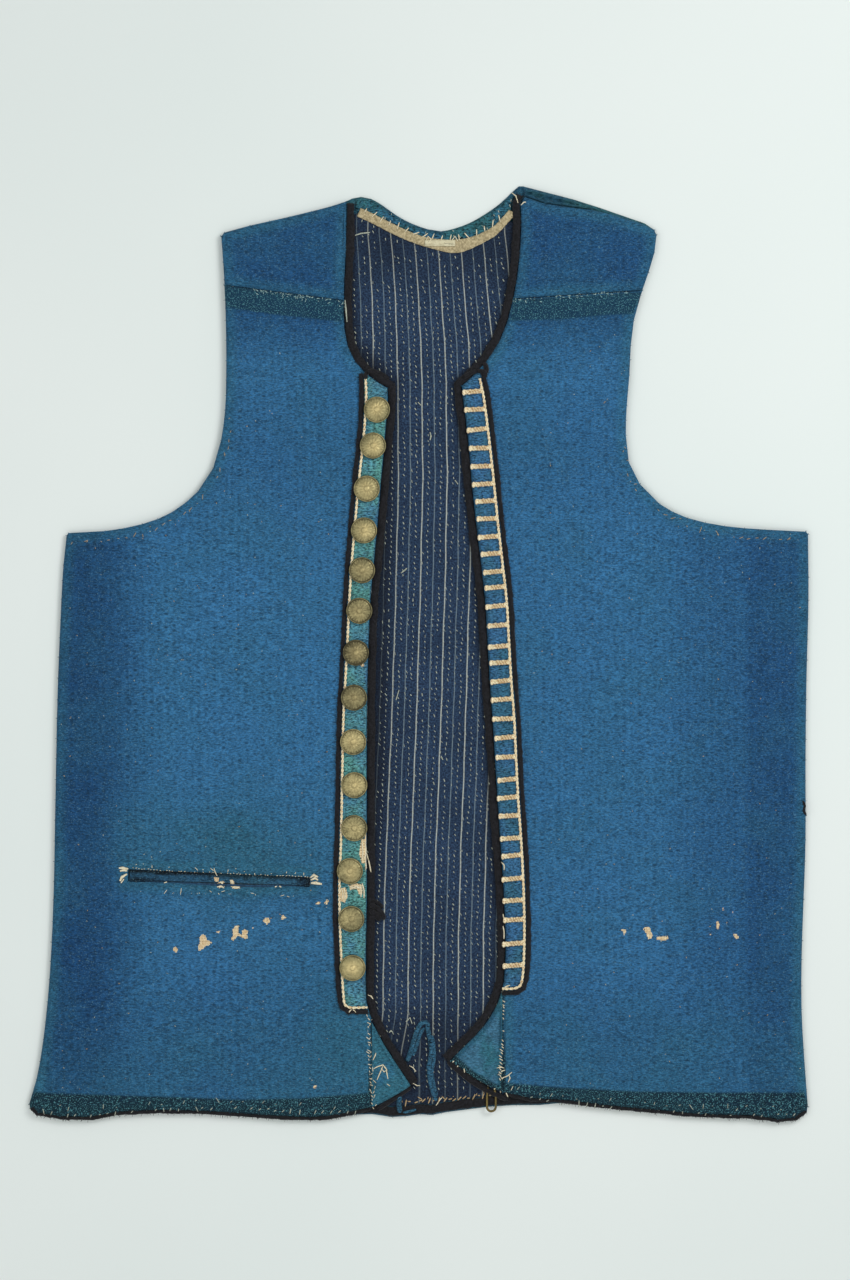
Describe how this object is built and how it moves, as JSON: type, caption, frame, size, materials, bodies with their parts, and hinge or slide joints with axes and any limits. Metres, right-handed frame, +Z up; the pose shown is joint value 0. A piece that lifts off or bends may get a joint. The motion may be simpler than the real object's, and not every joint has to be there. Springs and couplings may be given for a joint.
{
  "type": "vest",
  "caption": "Sleeveless quilted folk vest laid flat and open, with domed buttons, worked bars, black braid, a slit pocket and a pinstriped lining.",
  "frame": {"origin": "centre of the vest's outline on the surface that its back rests on", "axes": "+X across the vest towards the wearer's left front, +Y from the hem to the shoulders, +Z up through the layers"},
  "size_m": [0.5072, 0.6094, 0.0114],
  "materials": {
    "outer_cloth": "quilted wool cloth, mid blue, soft fulled nap",
    "teal_cloth": "wool cloth, faded teal blue",
    "navy_lining": "navy lining with woven pale pinstripes and rows of hand quilting",
    "black_binding": "black wool binding and braid, matt",
    "cream_tape": "unbleached woven tape",
    "cream_cord": "cream twisted thread and cord",
    "dark_welt": "dark blue cloth of the pocket welt",
    "button_metal": "worn pewter-grey metal, dull, domed",
    "hook_wire": "aged brass wire"
  },
  "bodies": {
    "root": {"back_panel": "outer_cloth", "front_left": "outer_cloth", "front_right": "outer_cloth", "shoulder_left": "outer_cloth", "shoulder_right": "outer_cloth", "placket_left": "outer_cloth", "vent_edge_left": "outer_cloth", "vent_edge_right": "outer_cloth", "neck_facing": "teal_cloth", "gusset_left": "teal_cloth", "gusset_right": "teal_cloth", "placket_right": "teal_cloth", "back_lining": "navy_lining", "edge_binding_left": "black_binding", "edge_binding_right": "black_binding", "placket_braid_left": "black_binding", "placket_braid_right": "black_binding", "hem_binding_back": "black_binding", "hem_binding_left": "black_binding", "hem_binding_right": "black_binding", "neck_tape": "cream_tape", "neck_label": "cream_tape", "placket_cord_right": "cream_cord", "buttonhole_bars": "cream_cord", "pocket_tack_front": "cream_cord", "pocket_tack_side": "cream_cord", "pocket_welt": "dark_welt", "button_01": "button_metal", "button_02": "button_metal", "button_03": "button_metal", "button_04": "button_metal", "button_05": "button_metal", "button_06": "button_metal", "button_07": "button_metal", "button_08": "button_metal", "button_09": "button_metal", "button_10": "button_metal", "button_11": "button_metal", "button_12": "button_metal", "button_13": "button_metal", "button_14": "button_metal", "hem_hook": "hook_wire"}
  },
  "joints": []
}
